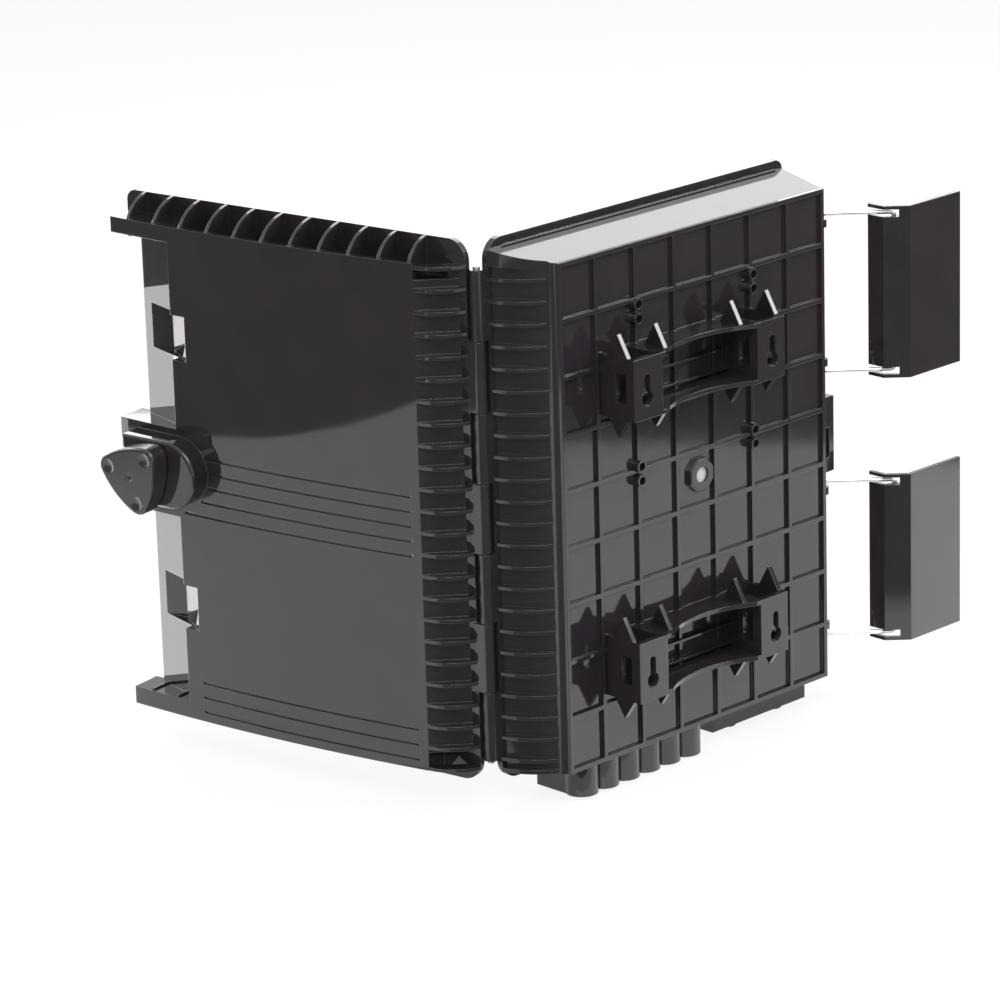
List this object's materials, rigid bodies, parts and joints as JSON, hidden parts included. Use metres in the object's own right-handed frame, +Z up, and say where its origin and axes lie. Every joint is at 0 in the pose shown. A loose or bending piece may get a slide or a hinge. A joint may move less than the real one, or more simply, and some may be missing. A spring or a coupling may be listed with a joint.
{
  "type": "fibre splice box",
  "caption": "Wall or pole mounted plastic fibre splice box with a ribbed hinged cover, wire bail latches, a knob lock, a swing-out splice tray and a patching row.",
  "frame": {"origin": "middle of the four wall keyholes, on the wall plane that the bracket pads touch", "axes": "+Z up, +Y into the wall, +X towards the hinge side"},
  "size_m": [0.4168, 0.3093, 0.329],
  "materials": {
    "housing": "moulded, glossy",
    "cover": "moulded, glossy",
    "latch": "moulded, glossy",
    "knob": "moulded, glossy",
    "steel": "bright drawn wire",
    "zinc": "zinc plated",
    "rubber": "matt",
    "tray": "moulded",
    "comb": "soft",
    "lid": "clear plastic sheet",
    "panel": "moulded",
    "adapter": "moulded",
    "cap": "soft plastic",
    "vent": "soft membrane",
    "guide": "moulded"
  },
  "bodies": {
    "base": {"base_housing": "housing", "vent_disc": "vent", "rim_seal": "rubber", "entry_seals": "rubber", "trunk_seals": "rubber", "hinge_pin": "steel", "tray_bracket": "panel", "bracket_screws": "zinc", "tray_pins": "steel", "adapter_panel": "panel", "panel_screws": "zinc", "adapters": "adapter", "dust_caps": "cap", "cable_clamps": "zinc", "clamp_screws": "zinc", "strength_clamps": "zinc", "strength_screws": "zinc", "fibre_guides": "guide"},
    "cover": {"cover": "cover"},
    "lock": {"lock_knob": "knob", "spindle_ring": "rubber", "lock_clip": "zinc", "lock_cam": "zinc", "cam_screw": "zinc"},
    "upper_bail": {"upper_bail": "steel"},
    "upper_lever": {"upper_lever": "latch"},
    "lower_bail": {"lower_bail": "steel"},
    "lower_lever": {"lower_lever": "latch"},
    "tray": {"splice_tray": "tray", "splice_combs": "comb", "tray_lid": "lid"}
  },
  "joints": [
    {"name": "cover_hinge", "type": "hinge", "parent": "base", "child": "cover", "pos_m": [0.12, -0.062, 0], "axis": [0, 0, 1], "range_deg": [-99, 81]},
    {"name": "lock_turn", "type": "hinge", "parent": "cover", "child": "lock", "pos_m": [0.19018, -0.26856, 0.02], "axis": [-0.9877, -0.1564, 0], "range_deg": [0, 90]},
    {"name": "upper_bail_hinge", "type": "hinge", "parent": "base", "child": "upper_bail", "pos_m": [-0.1322, -0.034, 0.0985], "axis": [0, 0, 1], "range_deg": [-15, 137.38]},
    {"name": "upper_lever_hinge", "type": "hinge", "parent": "upper_bail", "child": "upper_lever", "pos_m": [-0.16239, -0.00443, 0.0985], "axis": [0, 0, 1], "range_deg": [-60, 42.62]},
    {"name": "lower_bail_hinge", "type": "hinge", "parent": "base", "child": "lower_bail", "pos_m": [-0.1322, -0.034, -0.0635], "axis": [0, 0, 1], "range_deg": [-15, 137.38]},
    {"name": "lower_lever_hinge", "type": "hinge", "parent": "lower_bail", "child": "lower_lever", "pos_m": [-0.16239, -0.00443, -0.0635], "axis": [0, 0, 1], "range_deg": [-60, 42.62]},
    {"name": "tray_hinge", "type": "hinge", "parent": "base", "child": "tray", "pos_m": [-0.005, -0.046, 0.036], "axis": [1, 0, 0], "range_deg": [0, 80]}
  ]
}
